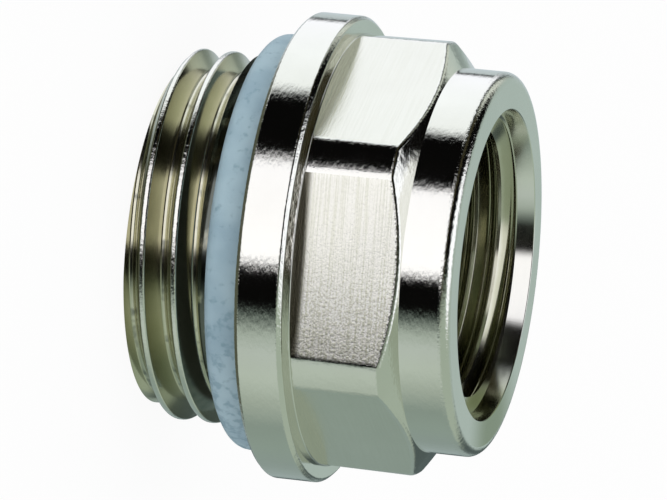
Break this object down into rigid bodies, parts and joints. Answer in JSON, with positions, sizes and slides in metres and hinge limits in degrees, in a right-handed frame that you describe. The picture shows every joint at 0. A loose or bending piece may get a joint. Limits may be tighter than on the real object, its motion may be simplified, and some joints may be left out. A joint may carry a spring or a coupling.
{
  "type": "nipple coupling",
  "caption": "Short reducing pipe nipple with a male thread and sealing ring, a round flange, a spanner hexagon and a plain nose with a female thread, joining a small pipe end to a larger port.",
  "frame": {"origin": "centre of the male end's face, on the axis", "axes": "+Z along the axis, from the male end towards the female mouth; a spanner flat faces -Y"},
  "size_m": [0.0264, 0.0262, 0.0188],
  "materials": {
    "nickel": "bright nickel plate over turned brass, lightly brushed on the flats",
    "seal": "matte pale blue-grey with faint darker mottling"
  },
  "bodies": {
    "root": {"body": "nickel", "seal_ring": "seal"}
  },
  "joints": []
}
